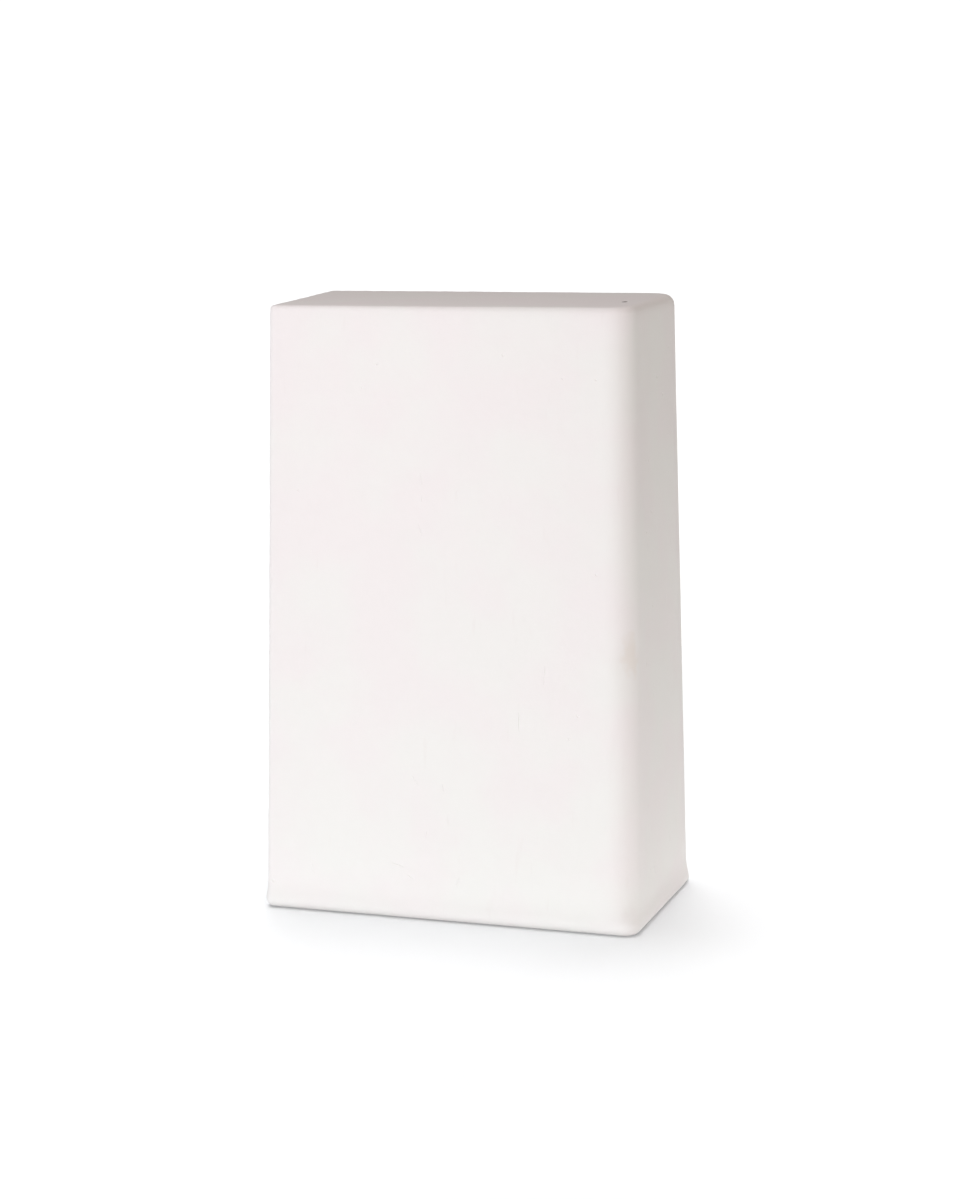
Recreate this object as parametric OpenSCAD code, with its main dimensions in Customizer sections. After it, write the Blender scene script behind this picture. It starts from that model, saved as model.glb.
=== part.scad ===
// Gymnastics chalk block: one piece of pressed magnesium carbonate, standing on its wide end.
// The front is -Y and the foot is centred on the origin. The mould gave the block its draft,
// the round edges of the right side and the lip round the foot. The left face is a straight cut.

/* [Block] */
// Height of the block at the middle of its top
block_height = 80; // [60:0.5:110]
// Width of the foot along the back, from the cut face to the moulded side
foot_width = 51; // [40:0.5:70]
// Depth of the foot, from front to back
foot_depth = 32; // [24:0.5:46]

/* [Draft] */
// Inward lean of the front face, in degrees
front_draft = 2; // [0:0.1:4]
// Inward lean of the back face, in degrees
back_draft = 2.9; // [0:0.1:4]
// Inward lean of the moulded right side, in degrees
side_draft = 1.2; // [0:0.1:4]
// Inward lean of the cut left face, in degrees
cut_draft = 0.2; // [0:0.1:4]
// How much narrower the block is along the front, because the cut isn't square
cut_skew = 0.5; // [0:0.1:2]

/* [Top] */
// Rise of the top from the cut face to the moulded side, in degrees
top_rise = 1; // [0:0.1:3]

/* [Edges] */
// Radius of the upright edge between the front and the moulded side
front_edge_r = 4; // [2:0.1:7]
// Radius of the upright edge between the back and the moulded side
back_edge_r = 4.2; // [2:0.1:7]
// Radius of the two upright edges that the cut left
cut_edge_r = 0.6; // [0.5:0.1:2]
// Radius of the top's rim over the front moulded edge
front_rim_r = 1; // [0.5:0.1:2]
// Radius of the top's rim over the back moulded edge
back_rim_r = 1.3; // [0.5:0.1:2]
// Radius of the top's rim along the cut face
cut_rim_r = 0.5; // [0.1:0.1:0.5]

/* [Foot] */
// Height at which the lip round the foot has run out into the faces
lip_height = 3.5; // [2.6:0.1:6]
// How far the lip stands proud of the foot's outline
lip_proud = 0.3; // [0.1:0.05:1]
// Radius of the lip's lower edge
lip_edge_r = 1.2; // [0.4:0.1:2]
// Radius of the lip's corner under the front moulded edge, tighter than the edge itself
lip_corner_r = 2.4; // [1.5:0.1:4]

/* [Wear] */
// Height of the dent in the front moulded edge
dent_z = 37; // [10:1:55]
// Width of the dent
dent_width = 3.4; // [1:0.1:5]
// Depth of the dent
dent_depth = 0.35; // [0.1:0.05:1]
// Width of the air hole's mouth in the top
air_hole_width = 0.7; // [0.3:0.1:1.5]
// Depth of the air hole
air_hole_depth = 0.5; // [0.2:0.1:1.5]
// Distance of the air hole from the moulded side
air_hole_from_side = 3.6; // [2.5:0.1:15]
// Distance of the air hole from the front face
air_hole_from_front = 9; // [2.5:0.1:15]

/* [Hidden] */
$fn = 32;
// Thickness of the discs that carry a rounded outline at one height
disc = 0.02;
// How far the lip's upper end is sunk under the faces, so that it runs out in them
lip_sink = 0.1;
// The four upright edges: side of the block, end of the block, edge radius, rim radius
EDGES = [
    for (side = ["cut", "moulded"], end = ["front", "back"])
        side == "cut" ? [side, end, cut_edge_r, cut_rim_r]
        : end == "front" ? [side, end, front_edge_r, front_rim_r]
        : [side, end, back_edge_r, back_rim_r]
];

// Place of each leaning face at a height over the floor
function cut_x(z, end) = -foot_width / 2 + z * tan(cut_draft) + (end == "front" ? cut_skew : 0);
function side_x(z) = foot_width / 2 - z * tan(side_draft);
function front_y(z) = -foot_depth / 2 + z * tan(front_draft);
function back_y(z) = foot_depth / 2 - z * tan(back_draft);

// Height of the sloping top at a distance from the middle
function top_z(x) = block_height + x * tan(top_rise);

// Axis of an upright edge's rounding at a height
function edge_axis(edge, z) = [
    edge[0] == "cut" ? cut_x(z, edge[1]) + edge[2] : side_x(z) - edge[2],
    edge[1] == "front" ? front_y(z) + edge[2] : back_y(z) - edge[2]
];

// Radius of the rim over an upright edge, no larger than the edge itself
function rim_r(edge) = min(edge[3], edge[2]);

// Axis of an upright edge where the rim over it starts
function rim_axis(edge) =
    edge_axis(edge, top_z(edge_axis(edge, block_height).x) - rim_r(edge));

// Radius of the ball that cuts a scoop of a given width and depth into a flat face
function scoop_r(width, depth) = (pow(width / 2, 2) + pow(depth, 2)) / (2 * depth);

// Ring with a round section, its outside at radius r and its middle at height 0
module ring(r, tube) {
    rotate_extrude()
        intersection() {
            translate([r - tube, 0]) circle(tube);
            translate([0, -tube]) square([r, 2 * tube]);
        }
}

// Lays its children on the sloping top
module on_top() {
    multmatrix([
        [1, 0, 0, 0],
        [0, 1, 0, 0],
        [tan(top_rise), 0, 1, block_height],
        [0, 0, 0, 1]
    ])
        children();
}

// The tapered body, lofted from its outline inside the lip to the rounded rim of the top
module pressed_body() {
    hull() {
        for (edge = EDGES) {
            translate([edge_axis(edge, lip_edge_r).x, edge_axis(edge, lip_edge_r).y, lip_edge_r])
                cylinder(r = edge[2], h = disc);
            on_top()
                translate([rim_axis(edge).x, rim_axis(edge).y, -rim_r(edge)])
                    ring(edge[2], rim_r(edge));
        }
    }
}

// Radius of the lip's outline under an upright edge
function lip_r(edge) =
    edge[0] == "moulded" && edge[1] == "front" ? lip_corner_r : edge[2] + lip_proud;

// The lip that the press squeezed out round the open side of the mould, flat underneath
module foot_lip() {
    hull() {
        for (edge = EDGES) {
            axis = edge_axis([edge[0], edge[1], lip_r(edge) - lip_proud], 0);
            tube = min(lip_edge_r, lip_r(edge));
            translate([axis.x, axis.y, tube])
                ring(lip_r(edge), tube);
            translate([edge_axis(edge, lip_height).x, edge_axis(edge, lip_height).y, lip_height - disc])
                cylinder(r = edge[2] - lip_sink, h = disc);
        }
    }
}

// The shallow dent in the rounded edge between the front and the moulded side
module edge_dent() {
    edge = ["moulded", "front", front_edge_r];
    axis = edge_axis(edge, dent_z);
    ball_r = scoop_r(dent_width, dent_depth);
    translate([axis.x, axis.y, dent_z])
        rotate([0, 0, -45])
            translate([front_edge_r + ball_r - dent_depth, 0, 0])
                sphere(ball_r);
}

// The hole that a bubble left in the top
module air_hole() {
    x = side_x(block_height) - air_hole_from_side;
    y = front_y(block_height) + air_hole_from_front;
    ball_r = scoop_r(air_hole_width, air_hole_depth);
    translate([x, y, top_z(x) + ball_r - air_hole_depth])
        sphere(ball_r);
}

module chalk_block() {
    color("whitesmoke")
        difference() {
            union() {
                pressed_body();
                foot_lip();
            }
            edge_dent();
            air_hole();
        }
}

chalk_block();
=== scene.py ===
import math
import random

import bmesh
import bpy
from mathutils import Matrix, Vector


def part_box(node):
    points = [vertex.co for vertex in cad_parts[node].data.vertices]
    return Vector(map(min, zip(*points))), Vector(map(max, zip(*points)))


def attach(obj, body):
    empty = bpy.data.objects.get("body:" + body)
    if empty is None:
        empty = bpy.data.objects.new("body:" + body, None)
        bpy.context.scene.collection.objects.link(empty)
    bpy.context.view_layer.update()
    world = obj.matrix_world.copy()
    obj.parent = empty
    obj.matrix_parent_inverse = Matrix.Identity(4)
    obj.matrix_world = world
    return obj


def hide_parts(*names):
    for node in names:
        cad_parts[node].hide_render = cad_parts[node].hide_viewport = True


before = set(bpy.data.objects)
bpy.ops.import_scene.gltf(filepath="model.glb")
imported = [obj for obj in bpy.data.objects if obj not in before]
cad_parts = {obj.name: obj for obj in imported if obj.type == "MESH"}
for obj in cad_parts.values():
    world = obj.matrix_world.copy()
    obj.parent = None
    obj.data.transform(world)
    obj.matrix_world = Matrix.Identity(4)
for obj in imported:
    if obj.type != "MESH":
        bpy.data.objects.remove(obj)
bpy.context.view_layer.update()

# The pressed block: one lump of magnesium carbonate, pressed in a mould and cut to length.
# The mould leaned its faces, rounded the two edges of the right side and left a lip round the
# foot. The left face is where it was cut off, so its edges are almost sharp.
mm = 0.001
lip_proud = 0.3 * mm
lip_height = 3.5 * mm
lip_edge = 1.2 * mm
lip_back_edge = 0.8 * mm
lip_sink = 0.1 * mm
lip_corner = 2.4 * mm
lip_cut_corner = 1.3 * mm
cut_edge = 0.6 * mm
front_edge = 4.0 * mm
front_edge_top = 3.6 * mm
back_edge = 4.2 * mm
cut_rim = 0.5 * mm
front_rim = 1.0 * mm
back_rim = 1.3 * mm
front_draft = math.radians(2.0)
back_draft = math.radians(2.9)
side_draft = math.radians(1.2)
cut_draft = math.radians(0.2)
cut_skew = 0.5 * mm
side_twist = 0.45 * mm
top_rise = math.radians(1.0)

low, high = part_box("chalk_block")
foot_width = high.x - low.x - 2 * lip_proud
foot_depth = high.y - low.y - 2 * lip_proud


def cut_x(z, y):
    """Place of the cut face, which isn't square, so that the front is narrower than the back."""
    return -foot_width / 2 + z * math.tan(cut_draft) + cut_skew * (0.5 - y / foot_depth)


def side_x(z):
    return foot_width / 2 - z * math.tan(side_draft)


def front_y(z):
    return -foot_depth / 2 + z * math.tan(front_draft)


def back_y(z):
    return foot_depth / 2 - z * math.tan(back_draft)


# The height at the middle of the sloping top, which is highest beside the moulded side
block_height = high.z - (side_x(high.z) - back_rim) * math.tan(top_rise)


def top_z(x):
    return block_height + x * math.tan(top_rise)


# The four upright edges with the radius of each and of the rim over it, and where that changes
upright_edges = {
    ("cut", "front"): (cut_edge, cut_rim), ("cut", "back"): (cut_edge, cut_rim),
    ("moulded", "front"): (front_edge, front_rim), ("moulded", "back"): (back_edge, back_rim)}
top_edges = {("moulded", "front"): front_edge_top}
lip_corners = {("cut", "front"): lip_cut_corner, ("moulded", "front"): lip_corner}
lip_edges = {("moulded", "back"): lip_back_edge}
round_steps = 96
tube_steps = 48
seed_radius = 1 * mm


def edge_axis(side, end, z, inset):
    """Axis of an upright edge's rounding at a height. The side leans a little more at its front."""
    if end == "front":
        y = front_y(z) + inset
        foot_y = -foot_depth / 2
        twist = side_twist * z / block_height
    else:
        y = back_y(z) - inset
        foot_y = foot_depth / 2
        twist = 0
    if side == "cut":
        return cut_x(z, foot_y) + inset, y
    return side_x(z) - inset - twist, y


def add_ring(place, outside, tube, lean=0.0):
    bpy.ops.mesh.primitive_torus_add(
        location=place, rotation=(0, -lean, 0), major_segments=round_steps, minor_segments=tube_steps,
        major_radius=max(outside - tube, 0), minor_radius=tube)


def add_outline(place, radius):
    bpy.ops.mesh.primitive_circle_add(location=place, radius=radius, vertices=round_steps)


def loft_upright_edges(name, add_edge):
    """Adds the shapes at the four upright edges to a small seed and stretches a skin over them."""
    bpy.ops.object.select_all(action="DESELECT")
    bpy.ops.mesh.primitive_circle_add(radius=seed_radius, location=(0, 0, block_height / 2))
    lofted = bpy.context.object
    lofted.name = name
    bpy.ops.object.transform_apply(location=True, rotation=True, scale=True)
    bpy.ops.object.mode_set(mode="EDIT")
    for side, end in upright_edges:
        add_edge(side, end)
    bpy.ops.mesh.select_all(action="SELECT")
    bpy.ops.mesh.convex_hull()
    bpy.ops.object.mode_set(mode="OBJECT")
    return lofted


def body_edge(side, end):
    radius, rim = upright_edges[side, end]
    add_outline((*edge_axis(side, end, lip_edge, radius), lip_edge), radius)
    radius = top_edges.get((side, end), radius)
    rim_z = top_z(edge_axis(side, end, block_height, radius)[0]) - rim
    add_ring((*edge_axis(side, end, rim_z, radius), rim_z), radius, rim, top_rise)


def lip_edge_ring(side, end):
    radius = upright_edges[side, end][0]
    outside = lip_corners.get((side, end), radius + lip_proud)
    tube = min(lip_edges.get((side, end), lip_edge), outside)
    add_ring((*edge_axis(side, end, 0, outside - lip_proud), tube), outside, tube)
    add_outline((*edge_axis(side, end, lip_height, radius), lip_height), radius - lip_sink)


def select_only(piece):
    bpy.ops.object.select_all(action="DESELECT")
    piece.select_set(True)
    bpy.context.view_layer.objects.active = piece


def apply_modifier(piece, kind, **settings):
    select_only(piece)
    modifier = piece.modifiers.new(kind.lower(), kind)
    for key, value in settings.items():
        setattr(modifier, key, value)
    bpy.ops.object.modifier_apply(modifier=modifier.name)


form = loft_upright_edges("form", body_edge)
lip = loft_upright_edges("lip", lip_edge_ring)
apply_modifier(form, "BOOLEAN", operation="UNION", solver="EXACT", object=lip)
bpy.data.objects.remove(lip)


def pick(piece, kind, test):
    """In edit mode, selects the vertices or edges that pass a test and nothing else."""
    bpy.ops.mesh.select_mode(type=kind)
    bpy.ops.mesh.select_all(action="DESELECT")
    net = bmesh.from_edit_mesh(piece.data)
    for part in {"VERT": net.verts, "EDGE": net.edges}[kind]:
        if test(part):
            part.select_set(True)
    net.select_flush_mode()
    bmesh.update_edit_mesh(piece.data)


# A net of small quads is drawn tight over the form, so that every lean and rounding stays.
net_gap = 0.5 * mm
net_round = 1.2 * mm
net_mesh = 0.55 * mm
long_edge = 10 * mm
bpy.ops.object.select_all(action="DESELECT")
bpy.ops.mesh.primitive_cube_add(size=1, location=(0, 0, block_height / 2))
block = bpy.context.object
block.name = "pressed_block"
bpy.ops.transform.resize(value=(
    foot_width + 2 * net_gap, foot_depth + 2 * net_gap, block_height + 2 * net_gap))
bpy.ops.object.transform_apply(location=True, rotation=True, scale=True)
bpy.ops.object.mode_set(mode="EDIT")

# The top corners are moved side by side: the axis and its sign for each side, and how far it leans
for axis, sign, lean in (
        (0, 1, (side_x(block_height) - side_x(0), 0, top_z(foot_width / 2) - top_z(0))),
        (0, -1, (cut_x(block_height, 0) - cut_x(0, 0), 0, top_z(-foot_width / 2) - top_z(0))),
        (1, -1, (0, front_y(block_height) - front_y(0), 0)),
        (1, 1, (0, back_y(block_height) - back_y(0), 0))):
    pick(block, "VERT", lambda vert: vert.co.z > block_height / 2 and vert.co[axis] * sign > 0)
    bpy.ops.transform.translate(value=lean)
bpy.ops.mesh.select_all(action="SELECT")
bpy.ops.mesh.bevel(offset=net_round, segments=4, affect="EDGES")
for axis, length in enumerate((foot_width, foot_depth, block_height)):
    pick(block, "EDGE", lambda edge: abs(edge.verts[0].co[axis] - edge.verts[1].co[axis]) > long_edge)
    bpy.ops.mesh.subdivide(number_cuts=round(length / net_mesh) - 1)
bpy.ops.object.mode_set(mode="OBJECT")
apply_modifier(block, "SHRINKWRAP", target=form, wrap_method="NEAREST_SURFACEPOINT")
bpy.data.objects.remove(form)

# The faces came out of the press very slightly uneven, and the sharp edges have crumbled a little.
uneven_size = 13 * mm
uneven_depth = 0.06 * mm
grainy_size = 2.2 * mm
grainy_depth = 0.02 * mm
crumbled_size = 1.1 * mm
crumbled_depth = 0.14 * mm
crumbled_reach = 1.3 * mm
relief_middle = 0.85
above_floor = block.vertex_groups.new(name="above the floor")
sharp_edges = block.vertex_groups.new(name="sharp edges")
for vert in block.data.vertices:
    x, y, z = vert.co
    above_floor.add([vert.index], min(z / lip_edge, 1), "REPLACE")
    face_gaps = (x - cut_x(z, y), side_x(z) - x, y - front_y(z), back_y(z) - y, top_z(x) - z)
    edge_gap = sorted(face_gaps)[1]
    if edge_gap < crumbled_reach and z > lip_height:
        sharp_edges.add([vert.index], 1 - edge_gap / crumbled_reach, "REPLACE")
for name, size, depth, group in (
        ("uneven press", uneven_size, uneven_depth, "above the floor"),
        ("coarse powder", grainy_size, grainy_depth, "above the floor"),
        ("crumbled edge", crumbled_size, crumbled_depth, "sharp edges")):
    relief = bpy.data.textures.new(name, "CLOUDS")
    relief.noise_scale = size
    relief.noise_depth = 2
    apply_modifier(block, "DISPLACE", texture=relief, texture_coords="LOCAL",
                   mid_level=relief_middle, strength=depth, vertex_group=group)

# A knock has dented the rounded edge between the front and the moulded side, in three presses.
# Each is given by its turn round the edge and its rise from the middle of the dent.
dent_z = 36.3 * mm
dent_turn = -34
dent_depth = 0.16 * mm
dent_reach = 1.9 * mm
dent_presses = ((-20, -0.7 * mm), (0, 0), (12, 0.9 * mm))


def on_front_edge(turn, z):
    """A point on the rounded front edge at a turn in degrees and a height, and the way out there."""
    turn = math.radians(turn)
    outward = Vector((math.cos(turn), math.sin(turn), 0))
    return Vector((*edge_axis("moulded", "front", z, front_edge), z)) + outward * front_edge, outward


select_only(block)
bpy.ops.object.mode_set(mode="EDIT")
for turn, rise in dent_presses:
    spot, outward = on_front_edge(dent_turn + turn, dent_z + rise)
    net = bmesh.from_edit_mesh(block.data)
    nearest = min(net.verts, key=lambda vert: (vert.co - spot).length_squared).index
    pick(block, "VERT", lambda vert: vert.index == nearest)
    bpy.ops.transform.translate(
        value=-outward * dent_depth, use_proportional_edit=True,
        proportional_edit_falloff="SMOOTH", proportional_size=dent_reach)
bpy.ops.object.mode_set(mode="OBJECT")

# Scratches, pits and the hole of an air bubble are cut out of the surface.
scratch_half_width = 0.09 * mm
scratch_depth = 0.07 * mm
pit_depth = 0.1 * mm
nick_lift = 0.15
nicks = []


def add_nick(outside, towards, size, lean=0.0):
    """Lays one small cutter on the surface, size being half its width, length and depth.

    It is lifted by a share of its depth, so that none of its edges lies in the surface.
    """
    _, spot, facing, _ = block.ray_cast(outside, towards)
    turn = facing.to_track_quat("Z", "Y").to_matrix() @ Matrix.Rotation(math.radians(lean), 3, "Z")
    bpy.ops.mesh.primitive_ico_sphere_add(
        subdivisions=2, radius=1, location=spot + facing * size[2] * nick_lift,
        rotation=turn.to_euler(), scale=size)
    nicks.append(bpy.context.object)


def add_scratch(outside, towards, half_length, lean):
    add_nick(outside, towards, (scratch_half_width, half_length, scratch_depth), lean)


def add_pit(outside, towards, radius):
    add_nick(outside, towards, (radius, radius, pit_depth))


far = 200 * mm
to_back = Vector((0, 1, 0))
to_front = Vector((0, -1, 0))
to_left = Vector((-1, 0, 0))
to_right = Vector((1, 0, 0))
to_floor = Vector((0, 0, -1))
air_hole_from_side = 3.6 * mm
air_hole_from_front = 9.3 * mm
air_hole_half = (0.34 * mm, 0.62 * mm, 0.7 * mm)
air_hole_lean = 15
air_hole_x = side_x(block_height) - air_hole_from_side
air_hole_y = front_y(block_height) + air_hole_from_front
add_nick(Vector((air_hole_x, air_hole_y, far)), to_floor, air_hole_half, air_hole_lean)

# Place across and up the front, half the length in millimetres, and the lean in degrees
for x, z, half, lean in (
        (-3.8, 57.9, 0.9, 4), (-3.7, 55.4, 0.5, -8), (-3.9, 51.3, 0.9, 18), (0.9, 55.9, 0.8, 0),
        (12.9, 33.4, 1.4, -4), (9.6, 27.1, 1.5, 2), (-4.4, 18.6, 0.8, 30), (-0.5, 17.8, 0.7, 10),
        (0.2, 13.7, 0.7, 0), (-2.7, 11.5, 0.6, -12), (-14.6, 8.3, 0.7, 0), (-6.6, 7.2, 1.2, 75),
        (-4.9, 5.7, 0.6, 60), (-18.4, 5.8, 0.8, 5), (1.6, 5.5, 0.7, -20)):
    add_scratch(Vector((x * mm, -far, z * mm)), to_back, half * mm, lean)

# Place across and up the front, and the radius in millimetres
for x, z, radius in (
        (-9.9, 72.4, 0.14), (-11.9, 69.3, 0.14), (6.9, 74.0, 0.16), (14.7, 71.3, 0.13),
        (-20.6, 55.7, 0.13), (17.4, 28.4, 0.2), (16.2, 25.4, 0.13), (-24.0, 3.6, 0.22),
        (19.1, 71.3, 0.2), (19.5, 46.7, 0.18)):
    add_pit(Vector((x * mm, -far, z * mm)), to_back, radius * mm)

# The same kinds of mark on the other sides, scattered: least and most of each size in millimetres
scratches_a_side = 16
scratch_halves = (0.4, 1.3)
scratch_lean = 15
pits_a_side = 14
pit_radii = (0.1, 0.22)
pits_on_top = 9
top_pit_radii = (0.1, 0.16)
top_pit_across = (-20, 16)
top_pit_along = (-9, 9)
lowest_mark = 5 * mm
highest_mark = 75 * mm
chance = random.Random(7)


def somewhere(across, half_span, towards):
    """A point outside one of the upright faces, at a place drawn by chance."""
    outside = across * chance.uniform(-half_span, half_span) - towards * far
    outside.z = chance.uniform(lowest_mark, highest_mark)
    return outside


for across, half_span, towards in (
        (to_right, 21 * mm, to_front), (to_back, 8 * mm, to_left), (to_back, 12 * mm, to_right)):
    for _ in range(scratches_a_side):
        outside = somewhere(across, half_span, towards)
        half = chance.uniform(*scratch_halves)
        add_scratch(outside, towards, half * mm, chance.gauss(0, scratch_lean))
    for _ in range(pits_a_side):
        outside = somewhere(across, half_span, towards)
        add_pit(outside, towards, chance.uniform(*pit_radii) * mm)
for _ in range(pits_on_top):
    across = chance.uniform(*top_pit_across) * mm
    along = chance.uniform(*top_pit_along) * mm
    add_pit(Vector((across, along, far)), to_floor, chance.uniform(*top_pit_radii) * mm)

smooth_angle = math.radians(35)
wear = nicks[0]
select_only(wear)
for nick in nicks:
    nick.select_set(True)
bpy.ops.object.join()
bpy.ops.object.transform_apply(location=True, rotation=True, scale=True)
apply_modifier(block, "BOOLEAN", operation="DIFFERENCE", solver="EXACT", object=wear)
bpy.data.objects.remove(wear)
select_only(block)
bpy.ops.object.shade_smooth_by_angle(angle=smooth_angle)

# The chalk itself: warm white powder without any gloss, faintly cloudy, with a fine dry grain.
# It is a little rubbed in places, tinted where the dent is, and scored by the saw on the cut face;
# inside the air hole it is painted dark, which is painted shade.
chalk_plain = (0.873, 0.863, 0.857, 1)
chalk_pink = (0.878, 0.846, 0.852, 1)
chalk_rubbed = (0.80, 0.755, 0.745, 1)
chalk_tinted = (0.80, 0.71, 0.63, 1)
# Nearly black: painted shade for the inside of the air hole
hole_painted_shade = (0.10, 0.085, 0.075, 1)
rubbed_most = 0.2
chalk = bpy.data.materials.new("pressed_chalk")
chalk.use_nodes = True
nodes = chalk.node_tree.nodes
links = chalk.node_tree.links
powder = nodes["Principled BSDF"]
powder.inputs["Diffuse Roughness"].default_value = 0.5
powder.inputs["Specular IOR Level"].default_value = 0.2

# Sockets of the Mix node for colours, which share their names with those for numbers
mix_first = 6
mix_second = 7
mix_result = 2


def add_node(kind, inputs, **settings):
    """Adds a node whose inputs are numbers or the outputs of other nodes."""
    node = nodes.new("ShaderNode" + kind)
    for key, value in settings.items():
        setattr(node, key, value)
    for socket, value in inputs.items():
        if isinstance(value, bpy.types.NodeSocket):
            links.new(value, node.inputs[socket])
        else:
            node.inputs[socket].default_value = value
    return node


def add_step(value, start, end, before=0.0, after=1.0):
    """Turns a value's range from start to end into a soft step from before to after."""
    step = add_node("MapRange", {
        "Value": value, "From Min": start, "From Max": end, "To Min": before, "To Max": after},
        interpolation_type="SMOOTHSTEP")
    return step.outputs["Result"]


def add_product(first, second):
    return add_node("Math", {0: first, 1: second}, operation="MULTIPLY").outputs["Value"]


def add_tint(share, colour, tint):
    mix = add_node("Mix", {"Factor": share, mix_first: colour, mix_second: tint}, data_type="RGBA")
    return mix.outputs[mix_result]


where = add_node("TexCoord", {})
place = where.outputs["Object"]
cloudy = add_node("TexNoise", {"Vector": place, "Scale": 90, "Detail": 4, "Roughness": 0.5})
colour = add_tint(add_step(cloudy.outputs["Fac"], 0.35, 0.65), chalk_pink, chalk_plain)

drawn_out = add_node("Mapping", {"Vector": place, "Scale": (1100, 1100, 140)})
streaks = add_node("TexNoise", {"Vector": drawn_out.outputs["Vector"], "Scale": 1, "Detail": 2})
handled = add_node("TexNoise", {"Vector": place, "Scale": 80, "Detail": 2})
rubbed = add_product(
    add_step(streaks.outputs["Fac"], 0.62, 0.74),
    add_step(handled.outputs["Fac"], 0.5, 0.66, after=rubbed_most))
colour = add_tint(rubbed, colour, chalk_rubbed)


def add_stain_and_shade(centre, squeeze, full, gone, most):
    """Share of a tint, for a stain and for painted shade, that is at its most round a point, fades
    out ragged and is drawn out.
    """
    away = add_node("VectorMath", {0: place, 1: centre}, operation="SUBTRACT")
    squeezed = add_node("VectorMath", {0: away.outputs["Vector"], 1: squeeze}, operation="MULTIPLY")
    reach = add_node("VectorMath", {0: squeezed.outputs["Vector"]}, operation="LENGTH")
    ragged = add_node("TexNoise", {"Vector": place, "Scale": 900, "Detail": 2})
    edge = add_step(ragged.outputs["Fac"], 0.25, 0.75, before=0.7, after=1.3)
    return add_step(add_product(reach.outputs["Value"], edge), full, gone, before=most, after=0)


dent_centre, _ = on_front_edge(dent_turn, dent_z)
dent_tint = add_stain_and_shade(dent_centre, squeeze=(1, 1, 0.5), full=0.5 * mm, gone=1.7 * mm, most=0.28)
colour = add_tint(dent_tint, colour, chalk_tinted)
# Painted shade: the inside of the air hole is painted nearly black in place of the shadow deep in the
# hole.
hole_mouth = Vector((air_hole_x, air_hole_y, top_z(air_hole_x)))
hole_shade = add_stain_and_shade(hole_mouth, squeeze=(1, 0.55, 0.6), full=0.26 * mm, gone=0.4 * mm, most=0.85)
colour = add_tint(hole_shade, colour, hole_painted_shade)
links.new(colour, powder.inputs["Base Color"])

grain = add_node("TexNoise", {"Vector": place, "Scale": 3200, "Detail": 3})
dryness = add_step(grain.outputs["Fac"], 0.3, 0.7, before=0.88, after=1.0)
links.new(dryness, powder.inputs["Roughness"])
normal_parts = add_node("SeparateXYZ", {"Vector": where.outputs["Normal"]})
cut_face = add_step(normal_parts.outputs["X"], -0.9, -0.98)
saw_marks = add_node(
    "TexWave", {"Vector": place, "Scale": 330, "Distortion": 3, "Detail": 3, "Detail Scale": 0.35},
    bands_direction="Z")
kept = add_node("TexNoise", {"Vector": place, "Scale": 130, "Detail": 2})
sawn = add_product(saw_marks.outputs["Fac"], cut_face)
sawn = add_product(sawn, add_step(kept.outputs["Fac"], 0.35, 0.65, before=0.25))
pressed = add_node("TexNoise", {"Vector": place, "Scale": 800, "Detail": 3})
saw_bump = add_node("Bump", {"Height": sawn, "Strength": 0.5, "Distance": 0.05 * mm})
skin_bump = add_node("Bump", {
    "Height": pressed.outputs["Fac"], "Normal": saw_bump.outputs["Normal"],
    "Strength": 0.5, "Distance": 0.04 * mm})
grain_bump = add_node("Bump", {
    "Height": grain.outputs["Fac"], "Normal": skin_bump.outputs["Normal"],
    "Strength": 0.5, "Distance": 0.025 * mm})
links.new(grain_bump.outputs["Normal"], powder.inputs["Normal"])

block.data.materials.clear()
block.data.materials.append(chalk)
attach(block, "root")
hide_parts("chalk_block")

# The table: the round top that the block stands on, faced with matt white laminate. It is just
# large enough to take the soft shadow and to throw light back up on the block.
table_radius = 175 * mm
table_thickness = 4 * mm
laminate_white = (0.88, 0.9, 0.918, 1)
bpy.ops.object.select_all(action="DESELECT")
bpy.ops.mesh.primitive_cylinder_add(
    vertices=128, radius=table_radius, depth=table_thickness, location=(0, 0, -table_thickness / 2))
table = bpy.context.object
table.name = "table_top"
bpy.ops.object.transform_apply(location=True, rotation=True, scale=True)
laminate = bpy.data.materials.new("white_laminate")
laminate.use_nodes = True
laminate_shader = laminate.node_tree.nodes["Principled BSDF"]
laminate_shader.inputs["Base Color"].default_value = laminate_white
laminate_shader.inputs["Roughness"].default_value = 0.9
laminate_shader.inputs["Specular IOR Level"].default_value = 0.0
table.data.materials.append(laminate)

# The studio: a pale surround, soft lights in front and behind and the glow of the table that light
# the block, and others overhead, behind and low in front that light the table, so that a soft
# shadow falls to the front and the right.
surround_tone = (1.0, 0.905, 0.835, 1)
surround_strength = 0.25
backdrop_tone = (1, 1, 1, 1)
backdrop_strength = 1.1
scene = bpy.context.scene
scene.view_settings.view_transform = "Standard"
studio = bpy.data.worlds.new("white_studio")
scene.world = studio
studio.use_nodes = True
studio_nodes = studio.node_tree.nodes
studio_links = studio.node_tree.links
surround = studio_nodes["Background"]
surround.inputs["Color"].default_value = surround_tone
surround.inputs["Strength"].default_value = surround_strength
backdrop = studio_nodes.new("ShaderNodeBackground")
backdrop.inputs["Color"].default_value = backdrop_tone
backdrop.inputs["Strength"].default_value = backdrop_strength
seen = studio_nodes.new("ShaderNodeLightPath")
choice = studio_nodes.new("ShaderNodeMixShader")
studio_links.new(seen.outputs["Is Camera Ray"], choice.inputs["Fac"])
studio_links.new(surround.outputs["Background"], choice.inputs[1])
studio_links.new(backdrop.outputs["Background"], choice.inputs[2])
studio_links.new(choice.outputs["Shader"], studio_nodes["World Output"].inputs["Surface"])

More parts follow.
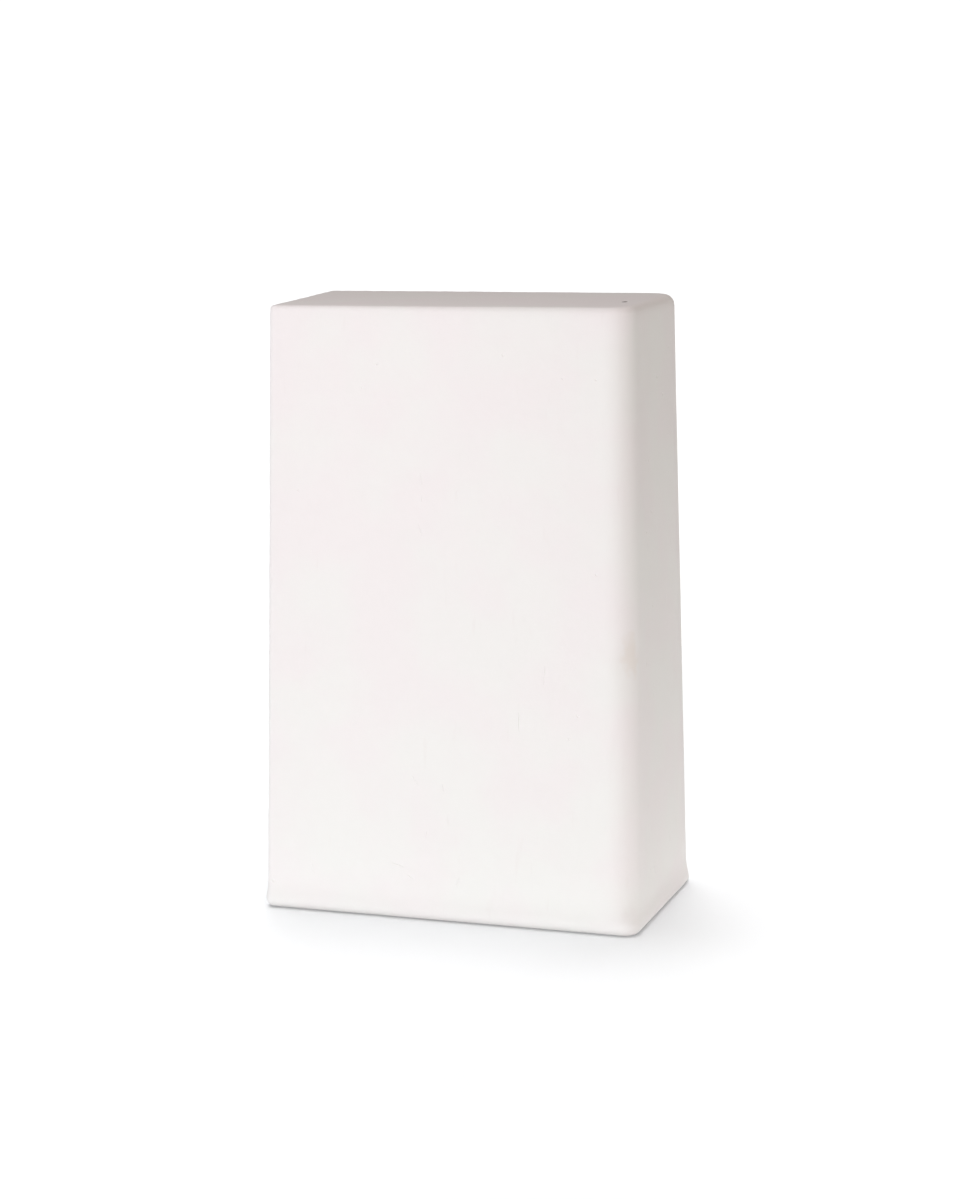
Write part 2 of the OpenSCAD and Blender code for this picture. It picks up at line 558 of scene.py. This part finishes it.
lit_block = bpy.data.collections.new("lit block")
lit_block.objects.link(block)
lit_table = bpy.data.collections.new("lit table")
lit_table.objects.link(table)
middle = Vector((0, 0, block_height / 2))
glow_height = 0.5 * mm


def add_light(name, lit, place, facing, watts, tone):
    bpy.ops.object.light_add(type="AREA", location=place, rotation=facing)
    lamp = bpy.context.object
    lamp.name = name + " light"
    lamp.data.energy = watts
    lamp.data.color = tone
    lamp.visible_camera = False
    lamp.light_linking.receiver_collection = lit
    return lamp.data


# What it lights, turn from the right and rise in degrees, distance and size in metres, watts, tone
for name, lit, turn, rise, distance, size, watts, tone in (
        ("left front", lit_block, 225, 3, 0.9, 0.4, 1.8, (0.81, 1, 1)),
        ("right front", lit_block, 315, 5, 0.9, 0.3, 1.85, (1, 0.97, 0.89)),
        ("near front", lit_block, 262, 28, 0.15, 0.08, 0.052, (1, 0.91, 0.99)),
        ("high front", lit_block, 262, 70, 0.4, 0.25, 0.22, (1, 0.97, 0.92)),
        ("low right", lit_block, 323, -36, 0.062, 0.015, 0.00022, (1, 1, 1)),
        ("behind", lit_block, 92, 0, 0.9, 0.15, 2.4, (1, 1, 1)),
        ("overhead", lit_table, 270, 89, 0.9, 0.9, 3.1, (1, 1, 1)),
        ("high behind", lit_table, 135, 82, 0.9, 0.4, 3.5, (1, 1, 1)),
        ("middle behind", lit_table, 90, 45, 0.9, 0.5, 0.65, (1, 1, 1)),
        ("low behind", lit_table, 112, 25, 0.9, 0.5, 1.8, (1, 1, 1)),
        ("low front", lit_table, 285, 8, 0.9, 0.3, 6.2, (1, 1, 1))):
    turn, rise = math.radians(turn), math.radians(rise)
    away = Vector((math.cos(turn) * math.cos(rise), math.sin(turn) * math.cos(rise), math.sin(rise)))
    lamp = add_light(
        name, lit, middle + away * distance, away.to_track_quat("Z", "Y").to_euler(), watts, tone)
    lamp.shape = "DISK"
    lamp.size = size

# The glow of the table along the foot: place and size across and along in millimetres, watts, tone
for name, x, y, width, depth, watts, tone in (
        ("right foot", 31.5, 0, 10, 34, 0.00035, (1, 0.98, 0.98)),
        ("front foot", 0, -22, 52, 10, 0.00055, (0.83, 1, 0.98))):
    lamp = add_light(name, lit_block, (x * mm, y * mm, glow_height), (math.pi, 0, 0), watts, tone)
    lamp.shape = "RECTANGLE"
    lamp.size = width * mm
    lamp.size_y = depth * mm

# The camera stands a little to the right of the block and looks slightly down.
camera_place = (0.119309, -0.388581, 0.114057)
camera_drop = 10.334
camera_turn = 17.104
bpy.ops.object.camera_add(
    location=camera_place,
    rotation=(math.radians(90 - camera_drop), 0, math.radians(camera_turn)))
camera = bpy.context.object
camera.data.lens = 93.266
camera.data.sensor_width = 36
scene.camera = camera
